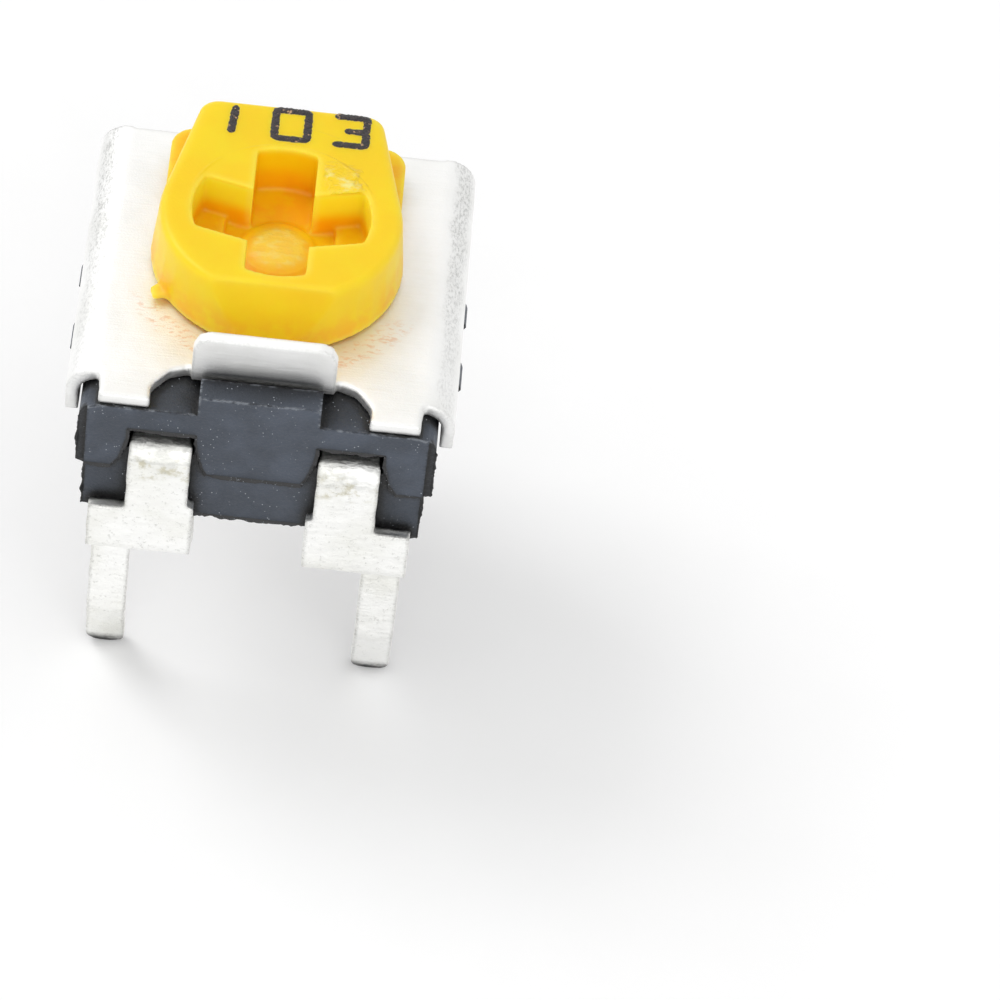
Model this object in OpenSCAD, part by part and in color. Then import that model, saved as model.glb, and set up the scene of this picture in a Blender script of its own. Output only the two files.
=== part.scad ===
// Single-turn trimming potentiometer for through-hole boards.
// X runs to the right, Y to the rear and Z up. The origin is on the rotor's axis, on the board.
// Every piece is drawn from the base's underside, which stands `standoff` above the board.

/* [Housing] */
// Width over the cover's side flanges
body_w = 7.0; // [6.6:0.1:9]
// From the rotor's axis to the base's front face
front_reach = 3.8; // [3.7:0.05:5]
// From the rotor's axis to the base's rear face
rear_reach = 3.25; // [3.2:0.05:4.5]
// Height of the base up to the cover plate
base_h = 2.63; // [2.5:0.01:3.4]
// Thickness of all sheet metal
sheet = 0.25; // [0.18:0.01:0.32]
// Height of the side ledge that the claws are crimped under
ledge_z = 1.12; // [0.9:0.01:1.2]
// Thickness of the floor below the resistive element
floor_t = 0.95; // [0.8:0.01:1.2]
// Thickness of the walls around the well
well_wall = 0.58; // [0.45:0.01:0.7]
// Play between pieces that are assembled with their faces side by side
side_play = 0.05; // [0.03:0.01:0.08]

/* [Cover] */
// Inner radius of the long bends at the cover's sides
side_bend = 0.35; // [0.25:0.01:0.45]
// Half width of the stop tab
tab_half = 1.29; // [1:0.01:1.5]
// Height of the stop tab above the cover plate
tab_h = 1.1; // [0.8:0.01:1.25]
// Rear face of the stop tab, in front of the rotor's axis
tab_y = 2.97; // [2.9:0.01:3.1]
// Half width of the rear terminal strip
strip_half = 1.35; // [1.1:0.01:1.6]
// How far the claws reach below the ledge
claw_reach = 0.55; // [0.45:0.01:0.7]

/* [Pins] */
// Spacing of the two front pins
pin_pitch = 5.0; // [4.6:0.1:6]
// From the front pins to the rear pin, at their tips
pin_row = 5.0; // [4.6:0.1:6]
// From the rotor's axis to the front pins' tips
front_pin_y = 2.12; // [1.9:0.01:2.5]
// Width of a pin
pin_w = 0.75; // [0.5:0.01:0.9]
// Height of the base's underside above the board
standoff = 1.95; // [1.7:0.01:2.4]
// Length of the pins below the board
pin_len = 3.4; // [2.5:0.1:5]

/* [Rotor] */
// Radius of the rotor's body at its foot
rotor_r = 2.31; // [2.2:0.01:2.5]
// Height of the rotor's body
rotor_h = 1.25; // [1:0.01:1.6]
// Height of the wide tier with the two stop ears
tier_h = 0.42; // [0.3:0.01:0.6]
// Half width of the wide tier
tier_half = 2.17; // [2.05:0.01:2.3]
// From the rotor's axis to the rear edge of the head
head_reach = 2.8; // [2.6:0.01:3]
// Half width of the head at its rear edge
head_half = 1.72; // [1.6:0.01:1.8]
// Half width of an arm of the cross recess
recess_half = 0.54; // [0.4:0.01:0.6]
// Radius that the arms of the recess reach
recess_r = 1.6; // [1.3:0.01:1.75]
// Depth of the recess
recess_d = 1.0; // [0.7:0.01:1.1]
// Radius of the neck that turns in the cover
neck_r = 1.3; // [1.08:0.01:1.5]
// Radius of the spigot that carries the wiper
spigot_r = 0.95; // [0.9:0.01:1.05]
// Radius of the pilot that turns in the base
pilot_r = 0.78; // [0.6:0.01:0.85]
// Radial play of the neck and the pilot in their holes
turn_play = 0.04; // [0.02:0.01:0.08]

/* [Resistive element] */
// Thickness of the ceramic plate
plate_t = 0.6; // [0.4:0.01:0.7]
// Thickness of the printed track and pads
track_t = 0.05; // [0.03:0.01:0.08]
// Mean radius of the track
track_r = 1.85; // [1.7:0.01:1.95]
// Width of the track
track_w = 0.55; // [0.4:0.01:0.6]
// Thickness of the wiper's spring sheet
wiper_t = 0.12; // [0.08:0.01:0.15]

/* [Hidden] */
$fn = 64;
ORANGE = "#f5a516";
TIN = "#c9c9c6";
CHARCOAL = "#3c3f44";
CERAMIC = "#e9e4da";
SPRING = "#c8a45a";

// Sheet metal: every bend that isn't a side bend has this radius at the middle of the sheet
bend_r = sheet / 2 + 0.1;

// Base: the upper part stands proud of the lower band, and the front panels of the front wall
flange_in = body_w / 2 - sheet;
upper_x = flange_in - side_play;
band_x = upper_x - 0.15;
panel_t = 0.08;
front_wall_y = front_reach - panel_t;
edge_r = side_bend + side_play;
well_x = upper_x - well_wall;
well_front = tab_y - 0.22;
well_rear = rear_reach - well_wall;
well_corner = 0.4;
block_half = 1.09;
block_h = 0.44;
ejector_r = 0.54;
groove_half = 0.45;
lug_out = 0.07;
lug_z = base_h - 0.63;
rear_chamfer = 0.2;
pilot_hole_r = pilot_r + turn_play;

// Cover: the plate lies on the base
plate_top = base_h + sheet;
bend_x = flange_in - side_bend;
bend_z = base_h - side_bend;
plate_front = front_reach - 0.04;
plate_rear = rear_reach - 0.11;
flange_front = front_reach - 0.6;
flange_rear = rear_reach + 0.03;
flange_z = base_h - 0.95;
front_claw = 1.3;
rear_claw = 1.0;
claw_inset = 0.05;
mid_front = 0.57;
mid_rear = 0.35;
claw_root_out = 2.18;
claw_tip_w = 0.32;
gap_z = base_h - 0.43;
claw_bend_z = ledge_z - 0.02;
claw_play = 0.02;
claw_angle = asin((flange_in - band_x - claw_play) / claw_reach);
notch_in = 1.3;
notch_out = 1.95;
tongue_out = bend_x - 0.02;
rear_strip_y = rear_reach + 0.1 + sheet / 2;

// Resistive element, in the well
element_z = floor_t;
track_z = element_z + plate_t;
contact_z = track_z + track_t;
element_x = well_x - side_play;
element_front = well_front - side_play;
element_rear = well_rear - side_play;
element_hole_r = spigot_r + 0.1;
track_half_gap = 34;

// Front terminals: x places are those of the right-hand one
pin_x = pin_pitch / 2;
strip_in = 1.12;
strip_out = 2.27;
shoulder_in = 1.0;
shoulder_out = pin_x + pin_w / 2 + 0.055;
shoulder_z = 0.27;
shoulder_step = 0.18;
lance = 0.05;
tongue_z = contact_z + sheet / 2;
tongue_in = well_front - 0.35;
strip_y = front_reach + sheet / 2;
foot_z = 0.8;
foot_drop = 0.5;
leg_y = 2.65;
leg_straight = 0.4;
leg_lean = 0.15;
leg_kink = 1.75;
pin_tip = standoff + pin_len;
tip_r = 0.28;
bulge_r = 1.2;
window_play = 0.03;
window_room = 0.25;

// Rotor, in heights above the base's underside
rotor_z = plate_top + 0.05;
rotor_top = rotor_z + rotor_h;
wiper_z = base_h - 0.28;
spigot_end = floor_t + 0.1;
pilot_end = 0.1;
slot_w = 0.34;
slot_d = 0.4;
round_r = 0.15;
draft = 0.1;
flat_y = 1.85;
flat_angle = atan((rotor_r - flat_y) / (rotor_h - 0.05));
arm_sweep = 0.25;
arm_front = 0.92;
arm_rear = 0.36;
arm_step_r = 1.0;
arm_step_d = 0.85;
gate_angle = 211;
gate_out = 0.25;
gate_h = 0.16;

// Wiper
finger_run = 0.7;
finger_w = 0.36;
finger_y = track_r - 0.1;
contact_r = 0.1;
contact_play = 0.03;

// ---- Outlines and sheet metal ----

function unit(v) = v / norm(v);
function left_of(v) = [-v.y, v.x];
function turned(v, a) = [v.x * cos(a) - v.y * sin(a), v.x * sin(a) + v.y * cos(a)];

// Points of the arc that rounds corner b between a and c
function corner(a, b, c, r, n = 5) =
    let (
        d0 = unit(b - a),
        d1 = unit(c - b),
        turn = atan2(cross(d0, d1), d0 * d1),
        start = b - d0 * r * tan(abs(turn) / 2),
        centre = start + left_of(d0) * r * sign(turn)
    )
    [for (i = [0:n]) centre + turned(start - centre, turn * i / n)];

// A path with its inner corners rounded, each with its own radius
function rounded_path(p, radii) = concat(
    [p[0]],
    [for (i = [1:len(p) - 2]) each corner(p[i - 1], p[i], p[i + 1], radii[i - 1])],
    [p[len(p) - 1]]
);

// Mitred normal of a path at one of its points
function normal_at(p, i) =
    let (
        d0 = i > 0 ? unit(p[i] - p[i - 1]) : unit(p[1] - p[0]),
        d1 = i < len(p) - 1 ? unit(p[i + 1] - p[i]) : d0,
        m = unit(d0 + d1)
    )
    left_of(m) / (m * d1);

// Outline of a sheet of thickness t that is bent along a path
function band(p, t) = concat(
    [for (i = [0:len(p) - 1]) p[i] + normal_at(p, i) * t / 2],
    [for (i = [len(p) - 1:-1:0]) p[i] - normal_at(p, i) * t / 2]
);

// Extrudes an outline drawn in (y, z) along x
module along_x(x0, x1) {
    translate([x0, 0, 0]) rotate([90, 0, 90]) linear_extrude(x1 - x0) children();
}

// Extrudes an outline drawn in (x, z) along y
module along_y(y0, y1) {
    translate([0, y1, 0]) rotate([90, 0, 0]) linear_extrude(y1 - y0) children();
}

// A box between two corners
module box(a, b) {
    translate(a) cube(b - a);
}

// An outline and its mirror image in x
module both_sides() {
    children();
    mirror([1, 0, 0]) children();
}

// A rectangle with its corner radius, centred on x, from y0 to y1
module rounded_plan(half, y0, y1, r) {
    translate([0, (y0 + y1) / 2]) offset(r) square([2 * (half - r), y1 - y0 - 2 * r], center = true);
}

// A bend in the sheet with its axis along y: angles run from +x to +z
module bend_along_y(r, t, y0, y1, a0, a1) {
    translate([0, y1, 0]) rotate([90, 0, 0])
        rotate_extrude(angle = a1 - a0, start = a0) translate([r, 0]) square([t, y1 - y0]);
}

// ---- Base ----

// Front view of the upper part, with shoulders that clear the cover's side bends
module upper_outline() {
    points = concat(
        [[upper_x, ledge_z]],
        corner([upper_x, ledge_z], [upper_x, base_h], [0, base_h], edge_r)
    );
    polygon(concat(points, [for (i = [len(points) - 1:-1:0]) [-points[i].x, points[i].y]]));
}

// Recess in the front panel that a terminal strip lies in, with flared sides
module terminal_recess() {
    in = strip_in;
    out = strip_out + window_play;
    top = window_top();
    polygon([
        [in - 0.27, ledge_z - 0.01], [out + 0.27, ledge_z - 0.01], [out + 0.12, ledge_z + 0.23],
        [out, ledge_z + 0.75], [out, top], [in - window_play, top], [in - window_play, ledge_z + 0.83],
        [in - 0.06, ledge_z + 0.57], [in - 0.18, ledge_z + 0.16]
    ]);
}

function window_top() = contact_z + sheet + window_room;

// Window through the front wall for a terminal's tongue
module terminal_window() {
    box(
        [strip_in - window_play, -front_reach - 1, contact_z - track_t],
        [strip_out + window_play, -well_front + 0.3, window_top()]
    );
}

// Pockets in a side wall behind the claws, which leave two posts and a middle block
module side_pockets() {
    for (s = [-1, 1])
        box(
            [upper_x - 0.2, s > 0 ? 1.6 : -2.9, ledge_z + 0.13],
            [upper_x + 1, s > 0 ? 2.9 : -1.6, base_h - edge_r]
        );
}

// Wedges that stand out through the gaps between the cover's claws
module gap_lugs() {
    along_y(claw_inset + side_play - front_claw, -mid_front - side_play) lug_profile();
    along_y(mid_rear + side_play, rear_claw - claw_inset - side_play) lug_profile();
}

module lug_profile() {
    out = body_w / 2 + lug_out;
    low = ledge_z + 0.13;
    polygon([
        [upper_x - 0.3, low], [out - 0.05, low], [out, low + 0.07], [out - 0.02, low + 0.14],
        [upper_x + 0.12, lug_z - 0.05], [upper_x + 0.06, lug_z], [upper_x - 0.3, lug_z]
    ]);
}

// Rounded ring around the pilot's hole on the underside
module hole_ring() {
    ring_r = pilot_hole_r + 0.42;
    ring_h = 0.28;
    half = 0.41;
    curve = (half * half + ring_h * ring_h) / (2 * ring_h);
    rotate_extrude() translate([ring_r, curve - ring_h]) circle(curve);
}

module base() {
    color(CHARCOAL) difference() {
        union() {
            box([-band_x, -front_wall_y, 0], [band_x, rear_reach, ledge_z + 0.05]);
            along_y(-front_wall_y, rear_reach) upper_outline();
            difference() {
                along_y(-front_reach, -front_wall_y + 0.1)
                    intersection() {
                        upper_outline();
                        translate([-band_x, 0]) square([2 * band_x, 2 * base_h]);
                    }
                both_sides() along_y(-front_reach - 1, -front_wall_y) terminal_recess();
            }
            // Block in front of the stop tab
            box([-block_half, -front_reach, base_h - 0.5], [block_half, -tab_y - sheet - 0.08, base_h + block_h]);
            both_sides() gap_lugs();
            hole_ring();
        }
        // Well for the resistive element
        translate([0, 0, floor_t]) linear_extrude(base_h)
            rounded_plan(well_x, -well_front, well_rear, well_corner);
        translate([0, 0, -1]) cylinder(h = floor_t + 2, r = pilot_hole_r);
        both_sides() terminal_window();
        both_sides() side_pockets();
        // Chamfer that clears the bend of the rear strip
        translate([0, rear_reach, base_h]) rotate([45, 0, 0])
            cube([4 * strip_half, rear_chamfer, rear_chamfer], center = true);
        // Groove from the ring to the rear edge, and the ejectors' marks
        translate([0, 2.1, -1]) linear_extrude(1.3) {
            circle(groove_half);
            translate([-groove_half, 0]) square([2 * groove_half, rear_reach]);
        }
        both_sides() translate([band_x - 0.8, 0, -1]) cylinder(h = 1.04, r = ejector_r);
    }
}

// ---- Cover ----

// Plan of the flat plate, one half from the axis to the side bend
module plate_plan() {
    polygon([
        [0, -tab_y + 0.25], [tab_half, -tab_y + 0.25], [notch_in, -tab_y + 0.12],
        [notch_out - 0.28, -tab_y - 0.03], [notch_out - 0.05, -tab_y - 0.33],
        [notch_out + 0.02, -plate_front + 0.31], [notch_out, -plate_front],
        [tongue_out, -plate_front], [tongue_out, -plate_front + 0.31],
        [bend_x, -flange_front - 0.15], [bend_x, plate_rear], [0, plate_rear]
    ]);
}

// Lower outline of a flange's claw in (y, z), from its inner side to its outer root
function claw_edge(inner) = [
    [inner + 0.12, gap_z], [inner + 0.03, gap_z - 0.45], [inner - claw_inset, claw_bend_z],
    [claw_root_out - 0.42, claw_bend_z], [claw_root_out - 0.08, flange_z + 0.03],
    [claw_root_out + 0.02, flange_z - 0.03]
];

module side_flange_outline() {
    front = claw_edge(front_claw);
    polygon(concat(
        [[-flange_front, bend_z], [-flange_front, bend_z - 0.1], [-flange_front + 0.15, flange_z]],
        [for (i = [len(front) - 1:-1:0]) [-front[i].x, front[i].y]],
        [[-mid_front, gap_z], [-mid_front, flange_z + 0.1], [0.07 - mid_front, flange_z - 0.06]],
        [[0.22 - mid_front, flange_z - 0.15], [mid_rear - 0.25, flange_z - 0.15]],
        [[mid_rear - 0.09, flange_z - 0.07], [mid_rear, flange_z + 0.1], [mid_rear, gap_z]],
        claw_edge(rear_claw),
        [[flange_rear - 0.25, flange_z], [flange_rear, flange_z + 0.25], [flange_rear, bend_z]]
    ));
}

// End of a claw below its bend, in (y, z) with the bend at z = 0
module claw_outline(inner) {
    tip_in = inner - 0.3;
    tip_out = tip_in + claw_tip_w;
    polygon([
        [inner - claw_inset, 0], [claw_root_out - 0.42, 0], [tip_out + 0.06, -claw_reach + 0.12],
        [tip_out - 0.06, -claw_reach + 0.02], [tip_in + 0.08, -claw_reach],
        [tip_in, -claw_reach + 0.08], [tip_in + 0.01, -claw_reach + 0.22]
    ]);
}

// A claw's bend and its tip, crimped inwards under the ledge
module claw(inner) {
    translate([flange_in, 0, claw_bend_z]) {
        bend_along_y(0, sheet, inner - claw_inset, claw_root_out - 0.42, -claw_angle, 0);
        rotate([0, claw_angle, 0]) along_x(0, sheet) claw_outline(inner);
    }
}

module side_flange() {
    translate([bend_x, 0, bend_z])
        bend_along_y(side_bend, sheet, -flange_front, flange_rear - 0.1, 0, 90);
    difference() {
        along_x(flange_in, flange_in + sheet) side_flange_outline();
        // Punched dimple above the rear claw
        translate([body_w / 2 - 0.08, 1.78, base_h - 0.56]) rotate([0, 90, 0]) cylinder(h = 1, r = 0.1);
    }
    claw(rear_claw);
    mirror([0, 1, 0]) claw(front_claw);
}

// Tab that stops the rotor's ears, bent up from the plate
module stop_tab() {
    y = tab_y + sheet / 2;
    z = base_h + sheet / 2;
    path = rounded_path([[-tab_y + 0.6, z], [-y, z], [-y, plate_top + tab_h]], [sheet * 1.5]);
    intersection() {
        along_x(-tab_half, tab_half) polygon(band(path, sheet));
        along_y(-front_reach, 0)
            polygon([
                [-tab_half, 0], [tab_half, 0], [tab_half, plate_top + tab_h - 0.3],
                [tab_half - 0.1, plate_top + tab_h - 0.08], [tab_half - 0.3, plate_top + tab_h],
                [-tab_half + 0.3, plate_top + tab_h], [-tab_half + 0.1, plate_top + tab_h - 0.08],
                [-tab_half, plate_top + tab_h - 0.3]
            ]);
    }
}

// Front view of a pin that starts at height z and has a rounded tip
module pin_outline(z) {
    half = pin_w / 2;
    tip = corner([half, z], [half, -pin_tip], [0, -pin_tip], tip_r);
    side = concat([[half, z]], tip);
    polygon(concat(side, [for (i = [len(side) - 1:-1:0]) [-side[i].x, side[i].y]]));
}

// Front view of the rear terminal: strip, two seat ears and a pin with a tapered root
module rear_terminal_outline() {
    difference() {
        union() {
            translate([-strip_half, -standoff]) square([2 * strip_half, standoff + 2 * base_h]);
            translate([-strip_half - 0.05, -standoff]) square([2 * strip_half + 0.1, 0.9]);
            polygon([
                [-0.55, -standoff + 0.1], [-0.55, -standoff - 0.25], [-pin_w / 2, -standoff - 0.85],
                [pin_w / 2, -standoff - 0.85], [0.55, -standoff - 0.25], [0.55, -standoff + 0.1]
            ]);
            pin_outline(-standoff);
        }
        translate([-0.55, -0.15]) square([1.1, 0.7]);
        both_sides() translate([0.55, -standoff - 0.01]) square([0.18, 0.26]);
    }
}

// Rear terminal, bent down from the plate and under the base to its pin
module rear_terminal() {
    y = rear_strip_y;
    r = bend_r + 0.1;
    path = rounded_path([
        [plate_rear - 0.5, base_h + sheet / 2], [y, base_h + sheet / 2], [y, 0.9], [y + 0.17, -0.55],
        [y - 0.62, -standoff + 0.06], [y - 0.6, -standoff - 0.4], [y - 0.1, -standoff - 2.15],
        [pin_row - front_pin_y, -pin_tip - 0.02]
    ], [r, r, bulge_r, r, r, r]);
    intersection() {
        along_x(-2 * strip_half, 2 * strip_half) polygon(band(path, sheet));
        along_y(0, rear_reach + 2) rear_terminal_outline();
    }
}

module cover() {
    color(TIN) difference() {
        union() {
            both_sides() translate([0, 0, base_h]) linear_extrude(sheet) plate_plan();
            both_sides() side_flange();
            stop_tab();
            rear_terminal();
        }
        translate([0, 0, base_h - 1]) cylinder(h = sheet + 2, r = neck_r + turn_play);
    }
}

// ---- Front terminals ----

// Front view of a terminal down to the end of its seat flange
module terminal_outline() {
    translate([strip_in, 0]) square([strip_out - strip_in, 2 * base_h]);
    translate([shoulder_in, 0]) square([strip_out - shoulder_in, shoulder_z + shoulder_step]);
    translate([shoulder_in, -foot_z - foot_drop - sheet])
        square([shoulder_out - shoulder_in, foot_z + foot_drop + sheet + shoulder_z]);
    polygon([
        [shoulder_in, -foot_z], [shoulder_in, -standoff + 0.1], [shoulder_in + 0.1, -standoff],
        [pin_x - pin_w / 2 - lance, -standoff], [pin_x - pin_w / 2 - lance, -foot_z]
    ]);
}

// One strip of sheet: a tongue on the element, a strip down the front, a foot that runs
// back under the base, a flange that ends on the board and a pin beside it
module terminal() {
    foot_end = [-leg_y, -foot_z - foot_drop];
    foot_start = [-strip_y, -foot_z];
    straight_end = foot_end - [0, leg_straight];
    seat_path = rounded_path([
        [-tongue_in, tongue_z], [-strip_y, tongue_z], foot_start, foot_end, [-leg_y, -standoff - 0.1]
    ], [bend_r, bend_r, bend_r]);
    pin_path = rounded_path([
        (foot_start + foot_end) / 2, foot_end, straight_end,
        [-leg_y - leg_lean, -standoff - leg_kink], [-front_pin_y, -pin_tip - 0.02]
    ], [bend_r, bend_r, bend_r]);
    intersection() {
        along_x(0, body_w) polygon(band(seat_path, sheet));
        along_y(-2 * front_reach, 0) terminal_outline();
    }
    intersection() {
        along_x(0, body_w) polygon(band(pin_path, sheet));
        along_y(-2 * front_reach, 0) translate([pin_x, 0]) pin_outline(-foot_z);
    }
}

module terminal_right() {
    color(TIN) terminal();
}

module terminal_left() {
    color(TIN) mirror([1, 0, 0]) terminal();
}

// ---- Resistive element ----

module resistive_element() {
    color(CERAMIC) difference() {
        union() {
            translate([0, 0, element_z]) linear_extrude(plate_t)
                rounded_plan(element_x, -element_front, element_rear, well_corner);
            // Horseshoe track, open at the front, and the two pads that the terminals press on
            translate([0, 0, track_z - 0.05])
                rotate_extrude(angle = 360 - 2 * track_half_gap, start = -90 + track_half_gap)
                    translate([track_r - track_w / 2, 0]) square([track_w, track_t + 0.05]);
            both_sides() box(
                [strip_in + 0.05, -element_front + 0.1, track_z - 0.05],
                [strip_out - 0.1, -track_r + 0.35, contact_z]
            );
        }
        translate([0, 0, element_z - 1]) cylinder(h = plate_t + 2, r = element_hole_r);
    }
}

// ---- Rotor ----

// Plan of the rotor's head: a round body with a pointer that narrows to the rear
module head_plan(inset) {
    r = rotor_r - draft - inset;
    corner_r = 0.35;
    hull() {
        circle(r);
        both_sides() translate([head_half - corner_r - inset, head_reach - corner_r - inset]) circle(corner_r);
    }
}

// Head with its top edge rounded
module head() {
    hull() {
        translate([0, 0, rotor_z + tier_h - 0.05]) linear_extrude(0.01) head_plan(0);
        for (a = [0:30:90])
            translate([0, 0, rotor_top - round_r * (1 - sin(a)) - 0.001])
                linear_extrude(0.001) head_plan(round_r * (1 - cos(a)));
    }
}

// Side arms of the driver recess, swept back, beyond a distance from the axis
module recess_arms(inner) {
    outer = recess_r + 0.2;
    intersection() {
        circle(recess_r);
        both_sides() polygon([
            [inner, arm_sweep * inner - arm_front], [outer, arm_sweep * outer - arm_front],
            [outer, arm_sweep * outer + arm_rear], [inner, arm_sweep * inner + arm_rear]
        ]);
    }
}

// Arrow-like cross: two straight arms fore and aft, and two swept side arms
module recess_plan() {
    recess_arms(0);
    intersection() {
        circle(recess_r);
        square([2 * recess_half, 2 * recess_r + 1], center = true);
    }
}

// Low domed boss in the middle of the recess floor
module recess_boss() {
    z = rotor_top - recess_d;
    translate([0, 0, z - 0.05]) cylinder(h = 0.12, r1 = 0.76, r2 = 0.66);
    translate([0, 0, z + 0.06]) cylinder(h = 0.05, r1 = 0.6, r2 = 0.42);
    translate([0, 0, z + 0.1]) cylinder(h = 0.03, r1 = 0.4, r2 = 0.2);
}

// Shallower floor at the outer ends of the side arms
module recess_steps() {
    translate([0, 0, rotor_top - recess_d - 0.1]) linear_extrude(recess_d - arm_step_d + 0.1)
        recess_arms(arm_step_r);
}

// Rest of the moulding gate at the rotor's foot
module gate_rest() {
    r = rotor_r + gate_out;
    rotate(gate_angle) translate([0, 0, rotor_z + 0.02]) linear_extrude(gate_h)
        polygon([[rotor_r - 0.3, -0.26], [r - 0.05, -0.14], [r, 0.1], [rotor_r - 0.3, 0.24]]);
}

module rotor() {
    color(ORANGE) {
        difference() {
            union() {
                translate([0, 0, rotor_z]) cylinder(h = rotor_h - round_r, r1 = rotor_r, r2 = rotor_r - draft);
                head();
                // Wide tier with the stop ears
                translate([0, 0, rotor_z]) linear_extrude(tier_h)
                    rounded_plan(tier_half, -0.5, head_reach, 0.45);
                gate_rest();
                // Neck, spigot and pilot
                translate([0, 0, wiper_z + wiper_t]) cylinder(h = rotor_z - wiper_z, r = neck_r);
                translate([0, 0, spigot_end]) cylinder(h = rotor_z - spigot_end, r = spigot_r);
                translate([0, 0, pilot_end]) cylinder(h = rotor_z - pilot_end, r = pilot_r);
            }
            // Slanted flat at the front of the top edge
            translate([0, -flat_y, rotor_top]) rotate([-flat_angle, 0, 0])
                translate([-rotor_r, -rotor_r, -rotor_r]) cube([2 * rotor_r, rotor_r, 2 * rotor_r]);
            translate([0, 0, rotor_top - recess_d]) linear_extrude(recess_d + 1) recess_plan();
            // Slot in the pilot's end
            box([-1, -slot_w / 2, 0], [1, slot_w / 2, pilot_end + slot_d]);
        }
        recess_boss();
        recess_steps();
    }
}

// ---- Wiper ----

// A spring finger along x that rises, or falls, to a rounded contact at its end
module finger(rise) {
    rotate([0, -atan(rise / finger_run), 0]) translate([0, -finger_w / 2, -wiper_t / 2])
        cube([norm([finger_run, rise]), finger_w, wiper_t]);
    translate([finger_run, 0, rise]) rotate([90, 0, 0])
        cylinder(h = finger_w, r = contact_r, center = true);
}

// A pair of fingers on a lug that stands out from the wiper's ring
module finger_pair(rise) {
    box([-0.3, spigot_r + 0.1, -wiper_t / 2], [0.3, finger_y + finger_w / 2, wiper_t / 2]);
    both_sides() translate([0.25, finger_y, 0]) finger(rise);
}

module wiper() {
    color(SPRING) translate([0, 0, wiper_z + wiper_t / 2]) difference() {
        union() {
            cylinder(h = wiper_t, r = spigot_r + 0.4, center = true);
            // The rear pair runs on the track and the front pair on the cover's underside
            finger_pair(contact_z + contact_play + contact_r - wiper_z - wiper_t / 2);
            mirror([0, 1, 0]) finger_pair(base_h - contact_play - contact_r - wiper_z - wiper_t / 2);
        }
        cylinder(h = 2, r = spigot_r + 0.01, center = true);
    }
}

module on_board() {
    translate([0, 0, standoff]) children();
}

on_board() base();
on_board() cover();
on_board() rotor();
on_board() wiper();
on_board() resistive_element();
on_board() terminal_left();
on_board() terminal_right();
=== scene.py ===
"""Looks for the trimming potentiometer: materials, ink, small surface detail, floor, lights and camera."""

import math
import random

import bmesh
import bpy
from mathutils import Matrix, Vector


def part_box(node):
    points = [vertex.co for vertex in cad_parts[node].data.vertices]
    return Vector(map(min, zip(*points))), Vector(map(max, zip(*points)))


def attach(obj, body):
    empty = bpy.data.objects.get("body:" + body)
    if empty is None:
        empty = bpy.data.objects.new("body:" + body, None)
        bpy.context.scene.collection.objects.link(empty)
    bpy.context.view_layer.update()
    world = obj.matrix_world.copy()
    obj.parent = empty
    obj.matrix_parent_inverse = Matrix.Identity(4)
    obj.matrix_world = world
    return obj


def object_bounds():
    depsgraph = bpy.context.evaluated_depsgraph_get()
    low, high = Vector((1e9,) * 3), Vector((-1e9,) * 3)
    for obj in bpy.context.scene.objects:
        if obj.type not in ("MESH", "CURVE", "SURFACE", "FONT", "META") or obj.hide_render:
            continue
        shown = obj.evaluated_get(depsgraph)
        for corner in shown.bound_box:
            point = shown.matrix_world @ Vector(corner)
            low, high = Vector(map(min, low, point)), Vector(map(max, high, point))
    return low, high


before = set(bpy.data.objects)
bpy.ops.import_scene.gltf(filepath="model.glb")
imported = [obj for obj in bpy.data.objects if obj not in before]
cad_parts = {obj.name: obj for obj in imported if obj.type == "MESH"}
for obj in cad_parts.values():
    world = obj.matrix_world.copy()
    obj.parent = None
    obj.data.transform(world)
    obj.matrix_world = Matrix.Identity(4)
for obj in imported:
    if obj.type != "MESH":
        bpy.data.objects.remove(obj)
cad_low, cad_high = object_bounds()

MM = 0.001

# Heights and reaches in millimetres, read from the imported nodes
ROTOR_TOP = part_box("rotor")[1][2] / MM
HEAD_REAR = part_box("rotor")[1][1] / MM
HALF_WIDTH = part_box("cover")[1][0] / MM
TRACK_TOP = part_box("resistive_element")[1][2] / MM
STRIP_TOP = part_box("terminal_left")[1][2] / MM
PIN_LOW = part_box("terminal_left")[0][2] / MM
BASE_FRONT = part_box("base")[0][1] / MM

# Places in millimetres that no node's box gives
# The outer side of the base's front panels, and the height that its mould flash reaches
PANEL_SIDE = 3.05
FLASH_TOP = 4.2
# The top of the terminals' flanges
FOOT_TOP = 1.75
# The stop tab's face and the height of its bend
TAB_FACE = -2.9
TAB_LOW = 4.95
# The height at which the cover's side bends begin
BEND_LOW = 4.2
# The radius of the rounded edge of the rotor's head
HEAD_EDGE = 0.15
# The visible rotor lies this far inside its solid, which leaves room for the ink on its top
INK_ROOM = 0.012

FLOOR_Z = cad_low[2]


# ---- Node trees ----


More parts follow.
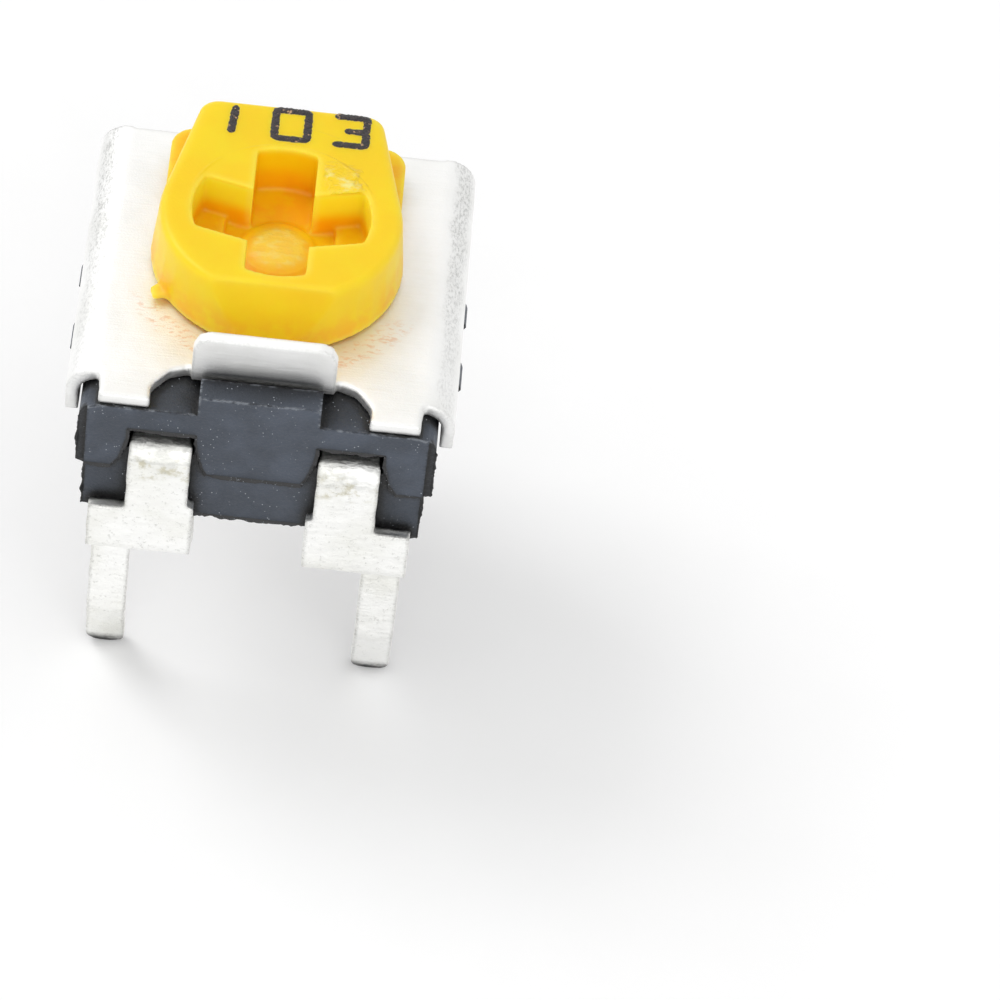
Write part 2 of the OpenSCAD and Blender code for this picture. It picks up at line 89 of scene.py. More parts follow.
class Tree:
    """A node tree that is built by name: inputs take plain values or other nodes' sockets."""

    def __init__(self, tree):
        self.tree = tree
        tree.nodes.clear()

    def add(self, kind, inputs=None, out=0, **settings):
        """Makes a node and returns its output socket, by index or name."""
        node = self.tree.nodes.new(kind)
        for name, value in settings.items():
            setattr(node, name, value)
        for name, value in (inputs or {}).items():
            if isinstance(value, bpy.types.NodeSocket):
                self.tree.links.new(value, node.inputs[name])
            else:
                node.inputs[name].default_value = value
        return node.outputs[out] if node.outputs else node

    def math(self, operation, a, b=0.0, c=0.0):
        return self.add("ShaderNodeMath", {0: a, 1: b, 2: c}, operation=operation)

    def all_of(self, first, *rest):
        """The product of masks."""
        for value in rest:
            first = self.math("MULTIPLY", first, value)
        return first

    def position(self):
        """Place on the piece in millimetres."""
        coords = self.add("ShaderNodeTexCoord", out="Object")
        return self.add("ShaderNodeVectorMath", {0: coords, "Scale": 1 / MM}, operation="SCALE")

    def stretched(self, vector, scale):
        return self.add("ShaderNodeMapping", {"Vector": vector, "Scale": scale})

    def noise(self, vector, scale, detail=3.0, roughness=0.5):
        inputs = {"Vector": vector, "Scale": scale, "Detail": detail, "Roughness": roughness}
        return self.add("ShaderNodeTexNoise", inputs)

    def smooth(self, value, low, high, to_low=0.0, to_high=1.0):
        """A smooth step of a value from low to high."""
        inputs = {"Value": value, "From Min": low, "From Max": high, "To Min": to_low, "To Max": to_high}
        return self.add("ShaderNodeMapRange", inputs, interpolation_type="SMOOTHSTEP")

    def between(self, value, low, high, soft):
        """A mask that is one from low to high and fades over a soft edge outside them."""
        return self.all_of(self.smooth(value, low - soft, low), self.smooth(value, high + soft, high))

    def blend(self, factor, a, b):
        """Mixes two colours."""
        node = self.tree.nodes.new("ShaderNodeMix")
        node.data_type = "RGBA"
        for index, value in ((0, factor), (6, a), (7, b)):
            if isinstance(value, bpy.types.NodeSocket):
                self.tree.links.new(value, node.inputs[index])
            else:
                node.inputs[index].default_value = value
        return node.outputs[2]

    def parts(self, vector):
        """The x, y and z sockets of a vector."""
        node = self.tree.nodes.new("ShaderNodeSeparateXYZ")
        self.tree.links.new(vector, node.inputs[0])
        return node.outputs

    def rounded_normal(self, radius):
        """A normal that rounds the sharp edges of moulded and stamped pieces."""
        return self.add("ShaderNodeBevel", {"Radius": radius * MM}, samples=6)

    def ridge(self, reach):
        """A mask of outer edges, as wide as the reach on either side."""
        distance = {"Distance": reach * MM}
        inner = self.add("ShaderNodeAmbientOcclusion", distance, out="AO", samples=6, inside=True)
        return self.smooth(inner, 0.97, 0.6)

    def crevice(self, reach):
        """One in the open, less in gaps and inner corners narrower than the reach."""
        return self.add("ShaderNodeAmbientOcclusion", {"Distance": reach * MM}, out="AO", samples=8)

    def wandering(self, value, source, reach):
        """A coordinate that wanders to and fro with a noise, which makes a straight border ragged."""
        return self.math("MULTIPLY_ADD", self.math("SUBTRACT", source, 0.5), reach, value)

    def bump(self, height, distance, normal, strength=1.0):
        inputs = {"Height": height, "Distance": distance * MM, "Normal": normal, "Strength": strength}
        return self.add("ShaderNodeBump", inputs)


def new_material(name):
    """A material with an empty tree."""
    material = bpy.data.materials.new(name)
    material.use_nodes = True
    return material, Tree(material.node_tree)


def finish_material(t, **inputs):
    """Ends a tree with a Principled shader whose inputs are values or sockets."""
    shader = t.add("ShaderNodeBsdfPrincipled", {k.replace("_", " "): v for k, v in inputs.items()})
    t.add("ShaderNodeOutputMaterial", {"Surface": shader})


def rgb(r, g, b):
    """A colour from 0 to 255 in screen values as linear light."""

    def linear(c):
        c /= 255
        return c / 12.92 if c <= 0.04045 else ((c + 0.055) / 1.055) ** 2.4

    return (linear(r), linear(g), linear(b), 1.0)


# ---- Materials ----


def rotor_plastic():
    """Yellow acetal, a little translucent: flow marks, a ring round the recess and a rough patch, with
    painted glow, shade and highlights.
    """
    material, t = new_material("rotor_plastic")
    place = t.position()
    x, y, z = t.parts(place)
    flat = t.add("ShaderNodeCombineXYZ", {0: x, 1: y})
    radius = t.add("ShaderNodeVectorMath", {0: flat}, out="Value", operation="LENGTH")
    cloud = t.noise(place, 1.1, 3.0)
    grain = t.noise(place, 20.0, 4.0, 0.6)
    ragged = t.noise(place, 3.5, 3.0)
    waves = t.noise(t.stretched(place, (1.0, 1.5, 1.0)), 4.2, 3.0, 0.5)
    top = t.smooth(z, ROTOR_TOP - 0.05, ROTOR_TOP - 0.02)
    # Faint rings that the mould's insert left on the rear half of the top
    inner_ring = t.all_of(t.between(radius, 1.7, 1.72, 0.03), t.smooth(y, 0.1, 0.9))
    outer_ring = t.all_of(
        t.between(radius, 2.2, 2.22, 0.03), t.between(x, 0.4, 0.9, 0.2), t.smooth(y, 0.5, 1.5),
    )
    ring = t.all_of(top, t.math("MAXIMUM", inner_ring, outer_ring), t.smooth(cloud, 0.3, 0.6))
    # Rough places: beside the right arm's rear edge and on the boss in the middle of the recess
    patch_x = t.wandering(x, ragged, 0.7)
    patch_y = t.wandering(y, waves, 0.6)
    patch = t.all_of(top, t.between(patch_x, 0.82, 1.25, 0.18), t.between(patch_y, 0.7, 1.2, 0.25))
    boss = t.all_of(t.smooth(radius, 0.62, 0.4), t.between(z, ROTOR_TOP - 1.05, ROTOR_TOP - 0.8, 0.02))
    rough = t.math("MAXIMUM", patch, t.math("MULTIPLY", boss, 0.45))
    scuffs_and_glints = t.all_of(rough, t.smooth(waves, 0.46, 0.7))
    colour = t.blend(t.smooth(cloud, 0.3, 0.7), rgb(255, 217, 12), rgb(255, 210, 6))
    # The plastic lets light through, and that light is painted: a painted yellow glow on the walls under the
    # recess's rim, and painted orange shade lower down in the recess
    hollow = t.smooth(radius, 1.85, 1.75)
    upward = t.smooth(t.parts(t.add("ShaderNodeNewGeometry", out="Normal"))[2], 0.4, 0.9, 1.0, 0.25)
    deep_orange_shade = t.all_of(hollow, upward, t.smooth(z, ROTOR_TOP - 0.3, ROTOR_TOP - 0.9))
    below_top = t.smooth(z, ROTOR_TOP - 0.03, ROTOR_TOP - 0.1)
    rim_glow = t.all_of(
        hollow, below_top, t.smooth(z, ROTOR_TOP - 0.75, ROTOR_TOP - 0.4), t.smooth(y, 1.35, 1.1),
    )
    # Painted shade: the sides under the top turn more orange lower down, as light through the plastic would,
    # with a random mottle
    mottle = t.noise(place, 1.9, 4.0, 0.6)
    mottled_skirt_shade = t.all_of(below_top, t.smooth(mottle, 0.38, 0.62, 0.25, 1.0))
    mottled_skirt_shade = t.all_of(mottled_skirt_shade, t.smooth(z, ROTOR_TOP - 0.35, ROTOR_TOP - 1.15))
    colour = t.blend(t.math("MULTIPLY", mottled_skirt_shade, 0.9), colour, rgb(255, 182, 20))
    # Painted shade: the recess's lower faces are painted orange
    colour = t.blend(t.math("MULTIPLY", deep_orange_shade, 0.5), colour, rgb(255, 170, 5))
    # Painted glow: the upper walls of the recess are painted pale yellow
    colour = t.blend(t.math("MULTIPLY", rim_glow, 0.7), colour, rgb(255, 244, 60))
    # Painted highlight: outer edges are painted paler, a glow of light through the plastic
    colour = t.blend(t.math("MULTIPLY", t.ridge(0.16), 0.3), colour, rgb(255, 240, 120))
    # Painted highlight: the boss in the middle of the recess is painted paler
    colour = t.blend(t.math("MULTIPLY", boss, 0.4), colour, rgb(255, 232, 110))
    # Pale scuffs on the rough places, partly painted highlight: glints of light on the rough plastic
    colour = t.blend(t.math("MULTIPLY", scuffs_and_glints, 0.7), colour, rgb(255, 242, 165))
    soft = t.bump(grain, 0.004, t.rounded_normal(0.04))
    normal = t.bump(t.all_of(waves, rough), 0.08, t.bump(ring, 0.008, soft))
    gloss = t.smooth(rough, 0.0, 1.0, 0.4, 0.26)
    finish_material(
        t, Base_Color=colour, Roughness=gloss, Normal=normal,
        Subsurface_Weight=0.7, Subsurface_Scale=0.3 * MM, Subsurface_Radius=(1.0, 0.75, 0.1),
        Specular_IOR_Level=0.35,
    )
    return material


def base_plastic():
    """Charcoal glass-filled plastic with a fine grain and bright specks of glass, painted shade in its
    crevices and under the cover's tab, and pale scrapes on its upper edges that are partly painted
    highlight.
    """
    material, t = new_material("base_plastic")
    place = t.position()
    grain = t.noise(place, 16.0, 5.0, 0.65)
    cloud = t.noise(place, 1.2, 3.0)
    specks = t.add("ShaderNodeTexVoronoi", {"Vector": place, "Scale": 12.0}, out="Distance")
    bright = t.all_of(t.smooth(specks, 0.16, 0.07), t.smooth(t.noise(place, 3.0), 0.46, 0.6))
    rounded = t.rounded_normal(0.05)
    x, y, z = t.parts(place)
    edge = t.ridge(0.06)
    dashes = t.smooth(t.noise(t.stretched(place, (4.0, 9.0, 9.0)), 1.0, 4.0, 0.7), 0.46, 0.6)
    # Pale dashes on the outer edges above the strips: scrapes, partly painted highlight where the upper
    # edges catch the light
    scratches_and_highlight = t.all_of(edge, dashes, t.smooth(z, STRIP_TOP + 0.6, STRIP_TOP + 0.7))
    edge = t.all_of(edge, t.smooth(grain, 0.4, 0.6))
    # Painted shade: black in narrow gaps and inner corners, such as along the panels' lower edges and beside
    # the strips
    gap = t.smooth(t.math("MULTIPLY_ADD", grain, 0.4, t.crevice(0.18)), 1.16, 0.98)
    shade = t.smooth(t.crevice(1.0), 1.0, 0.5)
    dark = t.blend(t.smooth(cloud, 0.35, 0.65), rgb(57, 64, 75), rgb(71, 79, 92))
    dark = t.blend(shade, dark, rgb(20, 22, 26))
    worn = t.blend(t.math("MULTIPLY", edge, 0.6), dark, rgb(20, 21, 24))
    # The narrow faces beside the front panels are black and ragged
    outer = t.smooth(t.wandering(t.math("ABSOLUTE", x), grain, 0.06), PANEL_SIDE, PANEL_SIDE + 0.04)
    wing = t.all_of(outer, t.smooth(y, BASE_FRONT + 0.2, BASE_FRONT + 0.12))
    # The painted shade in gaps and the black narrow faces beside the panels
    closed = t.blend(t.math("MAXIMUM", gap, t.math("MULTIPLY", wing, 0.85)), worn, rgb(13, 14, 16))
    scraped_and_highlit = t.blend(t.math("MULTIPLY", scratches_and_highlight, 0.6), closed, rgb(156, 162, 170))
    colour = t.blend(bright, scraped_and_highlit, rgb(188, 194, 202))
    finish_material(
        t, Base_Color=colour, Roughness=t.smooth(grain, 0.3, 0.7, 0.4, 0.58),
        Normal=t.bump(grain, 0.02, rounded),
    )
    return material


def flash_plastic():
    """Black torn flash, glossier than the faces beside it, with bright specks."""
    material, t = new_material("flash_plastic")
    place = t.position()
    grain = t.noise(place, 22.0, 4.0, 0.7)
    colour = t.blend(t.smooth(grain, 0.62, 0.7), rgb(14, 15, 18), rgb(150, 156, 164))
    finish_material(t, Base_Color=colour, Roughness=t.smooth(grain, 0.3, 0.7, 0.3, 0.5))
    return material


def tin_surface(t, place, rounding, light, shade):
    """What all the tin plate shares: its uneven bump, rounded normal, edge mask and pale colour."""
    rolled = t.noise(t.stretched(place, (1.2, 22.0, 22.0)), 1.0, 4.0, 0.6)
    grain = t.noise(place, 24.0, 5.0, 0.7)
    cloud = t.noise(place, 0.9, 4.0)
    rounded = t.rounded_normal(rounding)
    edge = t.all_of(t.ridge(0.08), t.smooth(grain, 0.35, 0.6, 0.3, 1.0))
    pale = t.blend(t.smooth(cloud, 0.35, 0.7), light, shade)
    uneven = t.math("ADD", t.math("MULTIPLY", rolled, 0.5), t.math("MULTIPLY", grain, 0.5))
    return uneven, rounded, edge, pale


def cover_tin():
    """Satin tin plate of the cover, with fine grey strain marks beside its long bends, painted reflections
    and painted shade along its edges.
    """
    material, t = new_material("cover_tin")
    place = t.position()
    x, y, z = t.parts(place)
    side = t.math("ABSOLUTE", x)
    uneven, rounded, edge, pale = tin_surface(t, place, 0.05, rgb(242, 242, 241), rgb(236, 236, 234))
    flecks = t.noise(t.stretched(place, (22.0, 11.0, 22.0)), 1.0, 5.0, 0.75)
    band = t.wandering(side, t.noise(place, 1.6, 3.0), 0.25)
    near_bend = t.all_of(
        t.between(band, HALF_WIDTH - 0.3, HALF_WIDTH - 0.16, 0.16), t.smooth(z, BEND_LOW, BEND_LOW + 0.3),
    )
    strain = t.all_of(near_bend, t.smooth(flecks, 0.42, 0.68, 0.12, 1.0), t.smooth(y, -3.0, 1.5, 0.3, 0.7))
    tab = t.all_of(t.smooth(z, TAB_LOW, TAB_LOW + 0.15), t.smooth(y, TAB_FACE + 0.3, TAB_FACE + 0.25))
    # Painted reflection: the lower face of the stop tab is painted dark, as it mirrors the dark base below
    # it
    painted_tab_reflection = t.all_of(tab, t.smooth(t.crevice(0.5), 0.95, 0.55))
    marks_and_painted_light = t.blend(strain, t.blend(painted_tab_reflection, pale, rgb(96, 98, 101)), rgb(160, 161, 158))
    # Painted reflection: orange streaks on the plate in front of the rotor's foot, where the plate mirrors
    # the yellow rotor
    flat = t.add("ShaderNodeCombineXYZ", {0: x, 1: y})
    radius = t.add("ShaderNodeVectorMath", {0: flat}, out="Value", operation="LENGTH")
    streaks = t.smooth(t.noise(t.stretched(place, (5.0, 11.0, 5.0)), 1.0, 4.0, 0.7), 0.5, 0.62)
    rotor_reflection = t.all_of(t.between(radius, 2.5, 2.75, 0.2), t.smooth(y, -0.9, -1.6), t.smooth(side, 0.9, 1.3))
    marks_and_painted_light = t.blend(t.math("MULTIPLY", t.all_of(rotor_reflection, streaks), 0.4), marks_and_painted_light, rgb(222, 164, 120))
    # Painted shade: the plate's edges are painted grey, as the shade of their rounding
    colour = t.blend(t.math("MULTIPLY", edge, 0.5), marks_and_painted_light, rgb(150, 150, 147))
    satin = t.smooth(uneven, 0.35, 0.65, 0.44, 0.58)
    finish_material(
        t, Base_Color=colour, Metallic=1.0, Roughness=t.math("MULTIPLY_ADD", tab, 0.12, satin),
        Normal=t.bump(uneven, 0.01, rounded),
    )
    return material


def terminal_tin():
    """Duller tin plate of the terminals, with wrinkles, stains, specks, grey tips that are partly painted
    shade, and painted shade in creases, gaps and along edges.
    """
    material, t = new_material("terminal_tin")
    place = t.position()
    z = t.parts(place)[2]
    uneven, rounded, edge, pale = tin_surface(t, place, 0.08, rgb(247, 247, 245), rgb(238, 238, 233))
    speck = t.noise(place, 12.0, 5.0, 0.75)
    wrinkles = t.noise(t.stretched(place, (3.0, 6.0, 7.0)), 1.0, 4.0, 0.6)
    blotch = t.noise(place, 3.2, 5.0, 0.7)
    # Yellow-brown stains below the strips' top bends and along the feet
    bends = t.between(z, STRIP_TOP - 0.65, STRIP_TOP - 0.3, 0.2)
    feet = t.between(z, FOOT_TOP - 1.1, FOOT_TOP - 0.9, 0.15)
    stain = t.all_of(t.math("MAXIMUM", bends, feet), t.smooth(blotch, 0.48, 0.66))
    # Painted shade: the wrinkles below the strips' top bends are painted grey in their creases
    wrinkle_crease_shade = t.all_of(t.smooth(z, STRIP_TOP - 0.7, STRIP_TOP - 0.2), t.smooth(wrinkles, 0.45, 0.62))
    dotted = t.smooth(speck, 0.55, 0.7)
    # Grey tips: sheared, worn ends, and partly painted shade of their rounded ends
    tip = t.all_of(t.smooth(z, PIN_LOW + 0.45, PIN_LOW + 0.1), t.smooth(blotch, 0.3, 0.6, 0.4, 1.0))
    stained = t.blend(t.math("MULTIPLY", stain, 0.6), pale, rgb(184, 176, 140))
    marks_and_painted_light = t.blend(t.math("MULTIPLY", wrinkle_crease_shade, 0.28), stained, rgb(150, 152, 148))
    spotted = t.blend(t.math("MULTIPLY", dotted, 0.4), marks_and_painted_light, rgb(150, 150, 142))
    tipped_and_shaded = t.blend(tip, spotted, rgb(70, 70, 68))
    shadow = t.smooth(t.crevice(0.2), 0.85, 0.5)
    shaded = t.blend(shadow, tipped_and_shaded, rgb(30, 30, 33))
    # Painted shade: the strips' and pins' edges are painted grey, as the shade of their rounding
    colour = t.blend(t.math("MULTIPLY", edge, 0.6), shaded, rgb(120, 120, 114))
    height = t.math("ADD", t.math("MULTIPLY", wrinkles, 0.6), t.math("MULTIPLY", speck, 0.4))
    finish_material(
        t, Base_Color=colour, Metallic=1.0, Roughness=t.smooth(uneven, 0.35, 0.65, 0.34, 0.5),
        Normal=t.bump(height, 0.04, rounded),
    )
    return material


def spring_metal():
    """Phosphor bronze of the wiper."""
    material, t = new_material("spring_metal")
    place = t.position()
    grain = t.noise(t.stretched(place, (1.0, 6.0, 1.0)), 20.0, 4.0)
    colour = t.blend(grain, rgb(206, 160, 104), rgb(186, 140, 88))
    finish_material(
        t, Base_Color=colour, Metallic=1.0, Roughness=t.smooth(grain, 0.3, 0.7, 0.25, 0.4),
        Normal=t.bump(grain, 0.004, t.rounded_normal(0.02)),
    )
    return material


def ceramic():
    """White alumina plate with the black printed track on its top."""
    material, t = new_material("ceramic")
    place = t.position()
    z = t.parts(place)[2]
    grain = t.noise(place, 24.0, 4.0)
    printed = t.smooth(z, TRACK_TOP - 0.045, TRACK_TOP - 0.035)
    colour = t.blend(printed, t.blend(grain, rgb(236, 233, 224), rgb(222, 218, 208)), rgb(38, 36, 36))
    finish_material(
        t, Base_Color=colour, Roughness=t.smooth(grain, 0.3, 0.7, 0.5, 0.7),
        Normal=t.bump(grain, 0.005, t.rounded_normal(0.02)),
    )
    return material


def ink():
    """Black stamping ink, uneven and worn through in tiny spots."""
    material, t = new_material("ink")
    place = t.position()
    grain = t.noise(place, 11.0, 4.0, 0.6)
    worn = t.smooth(t.noise(place, 9.0, 3.0, 0.6), 0.6, 0.68)
    dark = t.blend(t.smooth(grain, 0.4, 0.62), rgb(22, 17, 19), rgb(46, 35, 37))
    finish_material(
        t, Base_Color=t.blend(worn, dark, rgb(196, 158, 120)),
        Roughness=t.smooth(grain, 0.35, 0.65, 0.15, 0.4),
        Normal=t.bump(grain, 0.03, t.rounded_normal(0.01)),
    )
    return material


def dress_nodes():
    """Gives every CAD node its material and takes the sharpness off its edges."""
    strip_tin = terminal_tin()
    # A bevel has its radius, and a melt its cell, smoothing rounds, inset and dents, in millimetres
    looks = {
        "base": (base_plastic(), "bevel", 0.04),
        "cover": (cover_tin(), "melt", 0.044, 2, 0.0, 0.006),
        "terminal_left": (strip_tin, "melt", 0.032, 4, 0.0, 0.03),
        "terminal_right": (strip_tin, "melt", 0.032, 4, 0.0, 0.03),
        "rotor": (rotor_plastic(), "melt", 0.036, 8, INK_ROOM, 0.0),
        "wiper": (spring_metal(), "bevel", 0.02),
        "resistive_element": (ceramic(), "bevel", 0.03),
    }
    for name, (material, way, *sizes) in looks.items():
        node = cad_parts[name]
        node.data.materials.clear()
        node.data.materials.append(material)
        weld = node.modifiers.new("weld", "WELD")
        weld.merge_threshold = 0.002 * MM
        if way == "bevel":
            soften(node, *sizes)
        else:
            melt(node, *sizes)


def soften(node, radius):
    """Rounds a node's sharp edges with modifiers, which leave its mesh as it is."""
    flat = node.modifiers.new("flat_faces", "DECIMATE")
    flat.decimate_type = "DISSOLVE"
    flat.angle_limit = math.radians(0.5)
    bevel = node.modifiers.new("edges", "BEVEL")
    bevel.width = radius * MM
    bevel.segments = 2
    bevel.limit_method = "ANGLE"
    bevel.angle_limit = math.radians(35)
    bevel.harden_normals = False


def melt(node, cell, rounds, inset, dent):
    """Rounds outer edges and inner corners alike, also with modifiers, then insets or dents the surface."""
    grid = node.modifiers.new("grid", "REMESH")
    grid.mode = "VOXEL"
    grid.voxel_size = cell * MM
    grid.use_smooth_shade = True
    smooth = node.modifiers.new("smooth", "SMOOTH")
    smooth.factor = 0.5
    smooth.iterations = rounds
    if inset:
        inward = node.modifiers.new("inset", "DISPLACE")
        inward.mid_level = 0.0
        inward.strength = -inset * MM
    if dent:
        clouds = bpy.data.textures.new(node.name + "_dents", "CLOUDS")
        clouds.noise_scale = 0.3 * MM
        clouds.noise_depth = 1
        dents = node.modifiers.new("dents", "DISPLACE")
        dents.texture = clouds
        dents.texture_coords = "LOCAL"
        dents.mid_level = 1.0
        dents.strength = dent * MM


# ---- Pieces beside the CAD ----


def linked(name, data):
    """An object in the scene that holds the given mesh, lamp or camera."""
    made = bpy.data.objects.new(name, data)
    bpy.context.scene.collection.objects.link(made)
    return made


def piece_from(bm, name, material):
    """Turns a finished bmesh into an object with one material."""
    bmesh.ops.recalc_face_normals(bm, faces=bm.faces)
    mesh = bpy.data.meshes.new(name)
    bm.to_mesh(mesh)
    bm.free()
    mesh.materials.append(material)
    return linked(name, mesh)


# ---- Printed value ----


def stroke_mesh(bm, path, closed, dice):
    """Adds one inked stroke: a low ridge of uneven width along a path in millimetres."""
    half = 0.085
    height = 0.014
    sunk = 0.004
    step = 0.03
    points = resampled(path, closed, step)
    count = len(points)
    rings = []
    for i, point in enumerate(points):
        before = points[i - 1] if closed or i else point
        after = points[(i + 1) % count] if closed or i < count - 1 else point
        along = (after - before).normalized()
        across = Vector((-along.y, along.x))
        width = half + dice.uniform(-0.01, 0.01)
        if not closed:
            # Round ends
            gap = min(i, count - 1 - i) * step
            width *= math.sqrt(max(0.12, min(1.0, 1 - (1 - gap / half) ** 2))) if gap < half else 1.0
        # The head's rear edge curves down under the print
        over = max(0.0, point.y - HEAD_REAR + HEAD_EDGE)
        fall = math.sqrt(HEAD_EDGE ** 2 - min(over, HEAD_EDGE * 0.9) ** 2)
        z = ROTOR_TOP - INK_ROOM - sunk - HEAD_EDGE + fall
        ring = []
        for k in range(5):
            angle = math.pi * k / 4
            spot = point + across * width * math.cos(angle)
            ring.append(bm.verts.new((spot.x * MM, spot.y * MM, (z + height * math.sin(angle)) * MM)))
        rings.append(ring)
    pairs = list(zip(rings, rings[1:])) + ([(rings[-1], rings[0])] if closed else [])
    for a, b in pairs:
        for k in range(4):
            bm.faces.new((a[k], b[k], b[k + 1], a[k + 1]))
        bm.faces.new((a[4], b[4], b[0], a[0]))
    if not closed:
        bm.faces.new(rings[0])
        bm.faces.new(list(reversed(rings[-1])))


def resampled(path, closed, step):
    """A path's points at even steps, with its corners rounded by smoothing."""
    corners = [Vector(p) for p in path]
    ends = corners[1:] + ([corners[0]] if closed else [])
    points = []
    for a, b in zip(corners, ends):
        parts = max(1, round((b - a).length / step))
        points += [a.lerp(b, i / parts) for i in range(parts)]
    if not closed:
        points.append(corners[-1])
    for _ in range(6):
        kept = list(points)
        for i in range(len(points)):
            if closed or 0 < i < len(points) - 1:
                points[i] = (kept[i - 1] + kept[i] * 2 + kept[(i + 1) % len(kept)]) / 4
    return points


def printed_value():
    """A plain number in black ink near the rear edge of the rotor's head."""
    low = HEAD_REAR - 0.9
    high = HEAD_REAR - 0.17
    middle = (low + high) / 2
    left = -1.07
    right = 1.07
    half = 0.3
    strokes = [
        ([(left - 0.02, low), (left + 0.03, high)], False),
        ([(-half, low), (half, low), (half, high), (-half, high)], True),
        ([(right - half, high), (right + half, high), (right + half, middle), (right - 0.1, middle)], False),
        ([(right + half, middle), (right + half, low), (right - half, low)], False),
    ]
    dice = random.Random(11)
    bm = bmesh.new()
    for path, closed in strokes:
        stroke_mesh(bm, path, closed, dice)
    piece = piece_from(bm, "printed_value", ink())
    piece.data.shade_smooth()
    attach(piece, "rotor")


# ---- Mould flash ----


def ragged_fin(bm, start, end, outward, reach, dice):
    """Adds a thin torn fin along an edge: places in millimetres."""
    half = 0.022
    tooth = 0.045
    rooted = 0.03
    least = 0.035
    along = end - start
    side = along.normalized().cross(outward) * half
    steps = max(2, round(along.length / tooth))
    height = dice.uniform(0.0, 0.4)
    rows = []
    for i in range(steps + 1):
        height = min(1.0, max(0.0, height + dice.uniform(-0.4, 0.4)))
        root = start + along * (i / steps) - outward * rooted
        tip = root + outward * (least + reach * height)
        corners = (root - side, root + side, tip + side * 0.4, tip - side * 0.4)
        rows.append([bm.verts.new(corner * MM) for corner in corners])
    for a, b in zip(rows, rows[1:]):
        for k in range(4):
            bm.faces.new((a[k], b[k], b[(k + 1) % 4], a[(k + 1) % 4]))
    bm.faces.new(list(reversed(rows[0])))
    bm.faces.new(rows[-1])


def mould_flash():
    """Torn fins of flash along the sharp outer edges of the base's front."""
    reach = 0.05
    shortest = 0.1
    source = bmesh.new()
    source.from_mesh(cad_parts["base"].data)
    bmesh.ops.remove_doubles(source, verts=source.verts, dist=0.002 * MM)
    bm = bmesh.new()
    for edge in source.edges:
        if len(edge.link_faces) != 2 or not edge.is_convex or edge.calc_face_angle() < math.radians(60):
            continue
        start, end = (vertex.co / MM for vertex in edge.verts)
        if max(start.y, end.y) > BASE_FRONT + 0.1 or max(start.z, end.z) > FLASH_TOP:
            continue
        if (end - start).length < shortest:
            continue
        outward = (edge.link_faces[0].normal + edge.link_faces[1].normal).normalized()
        middle = (start + end) / 2
        # Each edge has its own seed, from its place, so the order of the edges doesn't matter
        dice = random.Random(round(middle.x * 50) * 1009 + round(middle.z * 50))
        ragged_fin(bm, start, end, outward, reach, dice)
    source.free()
    piece = piece_from(bm, "mould_flash", flash_plastic())
    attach(piece, "housing")


# ---- Stage ----


def floor():
    """A wide pale sheet under the pins, with a faint glow of its own for the camera and for reflections."""
    mesh = bpy.data.meshes.new("floor")
    half = 0.4
    mesh.from_pydata(
        [(-half, -half, FLOOR_Z), (half, -half, FLOOR_Z), (half, half, FLOOR_Z), (-half, half, FLOOR_Z)],
        [], [(0, 1, 2, 3)],
    )
    sheet = linked("floor", mesh)
    material, t = new_material("floor")
    grain = t.noise(t.position(), 0.5, 2.0)
    paper = t.blend(grain, (0.91, 0.91, 0.91, 1), (0.94, 0.94, 0.94, 1))
    diffuse = t.add("ShaderNodeBsdfDiffuse", {"Color": paper})
    path = t.tree.nodes.new("ShaderNodeLightPath")
    seen = t.math("MULTIPLY", path.outputs["Is Camera Ray"], 0.1)
    seen = t.math("MULTIPLY_ADD", path.outputs["Is Glossy Ray"], 0.16, seen)
    glow = t.add("ShaderNodeEmission", {"Color": (1, 1, 1, 1), "Strength": seen})
    both = t.add("ShaderNodeAddShader", {0: diffuse, 1: glow})
    t.add("ShaderNodeOutputMaterial", {"Surface": both})
    mesh.materials.append(material)


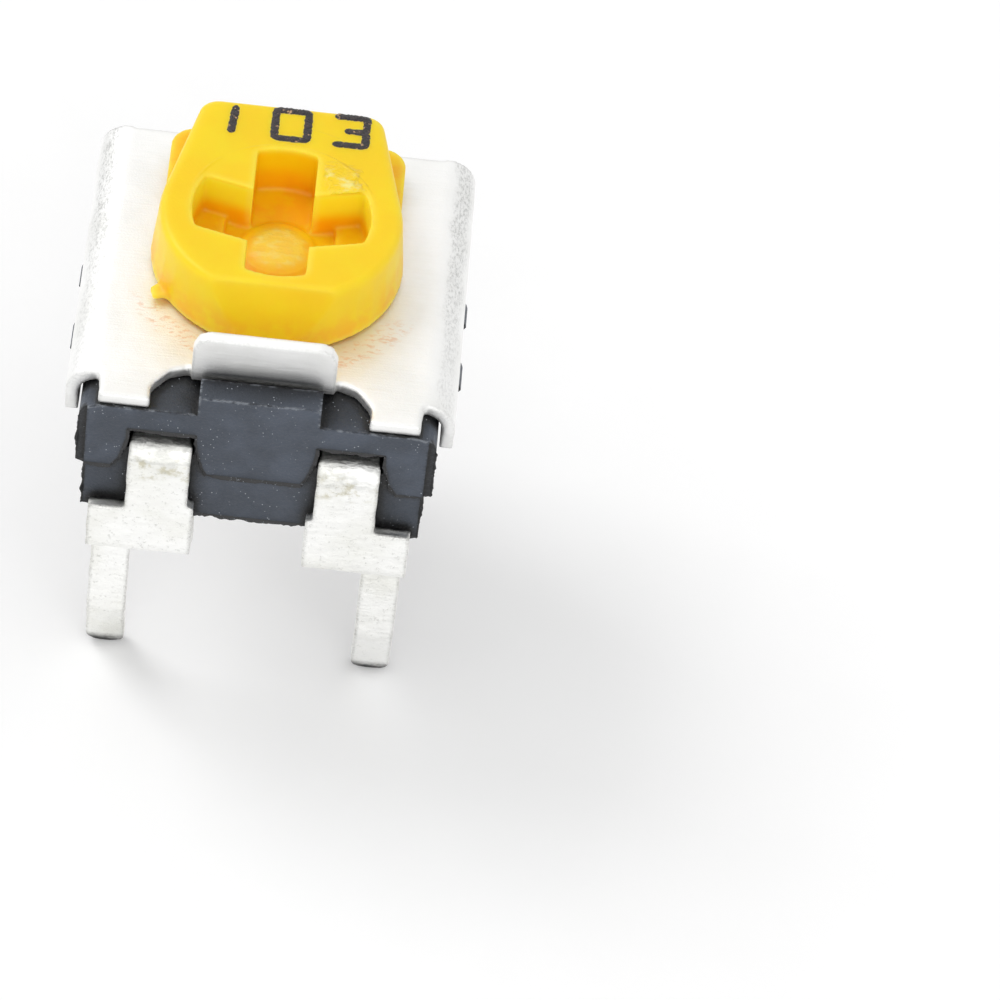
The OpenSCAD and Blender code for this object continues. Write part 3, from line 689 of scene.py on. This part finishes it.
def lamp(name, place, size, watts, target=(0, 0, 0.002)):
    """A square soft lamp that faces the object."""
    data = bpy.data.lights.new(name, "AREA")
    data.shape = "SQUARE"
    data.size = size
    data.energy = watts
    lamp_object = linked(name, data)
    lamp_object.location = place
    lamp_object.rotation_mode = "QUATERNION"
    lamp_object.rotation_quaternion = (Vector(target) - Vector(place)).to_track_quat("-Z", "Y")


def light():
    """Soft light from the upper left, a little behind, with a fill from the front and a pale room."""
    world = bpy.data.worlds.new("room")
    world.use_nodes = True
    bpy.context.scene.world = world
    t = Tree(world.node_tree)
    path = t.tree.nodes.new("ShaderNodeLightPath")
    seen = t.math("MAXIMUM", path.outputs["Is Camera Ray"], path.outputs["Is Glossy Ray"])
    seen = t.math("MAXIMUM", seen, path.outputs["Is Transmission Ray"])
    strength = t.smooth(seen, 0.0, 1.0, 0.72, 1.0)
    glow = t.add("ShaderNodeBackground", {"Color": (1, 1, 1, 1), "Strength": strength})
    t.add("ShaderNodeOutputWorld", {"Surface": glow})
    lamp("key", (-0.2, 0.1, 0.26), 0.16, 0.32)
    lamp("fill", (0.05, -0.3, 0.2), 0.3, 0.3)


def camera():
    """A long lens in front of the object and well above it, rolled so that the object leans clockwise."""
    azimuth = math.radians(2.734)
    elevation = math.radians(46.786)
    roll = math.radians(8.104)
    aim = Vector((4.582, -0.754, 0.0)) * MM
    distance = 115.53 * MM
    forward = Vector((
        math.sin(azimuth) * math.cos(elevation),
        math.cos(azimuth) * math.cos(elevation),
        -math.sin(elevation),
    ))
    data = bpy.data.cameras.new("camera")
    data.lens = 223.15
    data.sensor_width = 36.0
    data.clip_start = 0.01
    data.clip_end = 10.0
    cam = linked("camera", data)
    right = forward.cross(Vector((0, 0, 1))).normalized()
    up = right.cross(forward)
    across = math.cos(roll) * right + math.sin(roll) * up
    upward = math.cos(roll) * up - math.sin(roll) * right
    turn = Matrix((across, upward, -forward)).transposed().to_4x4()
    cam.matrix_world = Matrix.Translation(aim - forward * distance) @ turn
    bpy.context.scene.camera = cam


dress_nodes()
printed_value()
mould_flash()
floor()
light()
camera()

bpy.context.scene.view_settings.view_transform = "Standard"
